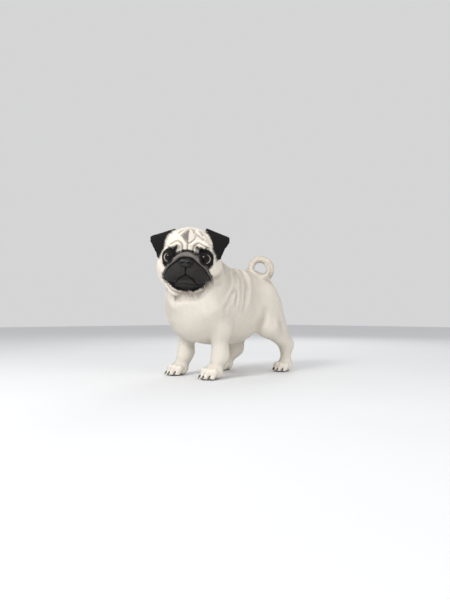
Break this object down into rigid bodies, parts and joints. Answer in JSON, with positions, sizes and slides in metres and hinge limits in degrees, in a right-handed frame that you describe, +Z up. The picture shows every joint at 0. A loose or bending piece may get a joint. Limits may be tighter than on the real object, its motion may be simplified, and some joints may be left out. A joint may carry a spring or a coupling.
{
  "type": "pug dog model",
  "caption": "Life-size still model of a standing pug: short pale coat, black mask and folded ears, wrinkled flat face, head turned to the viewer, tail curled over the hip",
  "frame": {"origin": "on the floor, under the middle of the dog's outline in plan", "axes": "+Z up, the dog's trunk lies along Y with its chest towards -Y and its rump towards +Y, +X is the dog's left side"},
  "size_m": [0.2022, 0.403, 0.349],
  "materials": {
    "pale_coat": "short smooth pale fawn fur over skin",
    "dark_coat": "short soft black fur",
    "nose_leather": "moist pebbled black nose leather",
    "eye": "wet dark brown eye under a clear cornea",
    "claw_horn": "smooth black horn"
  },
  "bodies": {
    "root": {"skull": "pale_coat", "muzzle": "dark_coat", "lower_jaw": "dark_coat", "nose": "nose_leather", "eye_left": "eye", "ear_left": "dark_coat", "eye_right": "eye", "ear_right": "dark_coat", "foreleg_left": "pale_coat", "forepaw_left": "pale_coat", "foreclaw_left_1": "claw_horn", "foreclaw_left_2": "claw_horn", "foreclaw_left_3": "claw_horn", "foreclaw_left_4": "claw_horn", "foreleg_right": "pale_coat", "forepaw_right": "pale_coat", "foreclaw_right_1": "claw_horn", "foreclaw_right_2": "claw_horn", "foreclaw_right_3": "claw_horn", "foreclaw_right_4": "claw_horn", "thigh_left": "pale_coat", "hindleg_left": "pale_coat", "hindpaw_left": "pale_coat", "hindclaw_left_1": "claw_horn", "hindclaw_left_2": "claw_horn", "hindclaw_left_3": "claw_horn", "hindclaw_left_4": "claw_horn", "thigh_right": "pale_coat", "hindleg_right": "pale_coat", "hindpaw_right": "pale_coat", "hindclaw_right_1": "claw_horn", "hindclaw_right_2": "claw_horn", "hindclaw_right_3": "claw_horn", "hindclaw_right_4": "claw_horn", "neck": "pale_coat", "chest": "pale_coat", "loin_and_croup": "pale_coat", "tail_root": "pale_coat", "tail_curl": "pale_coat", "tail_tip": "pale_coat"}
  },
  "joints": []
}
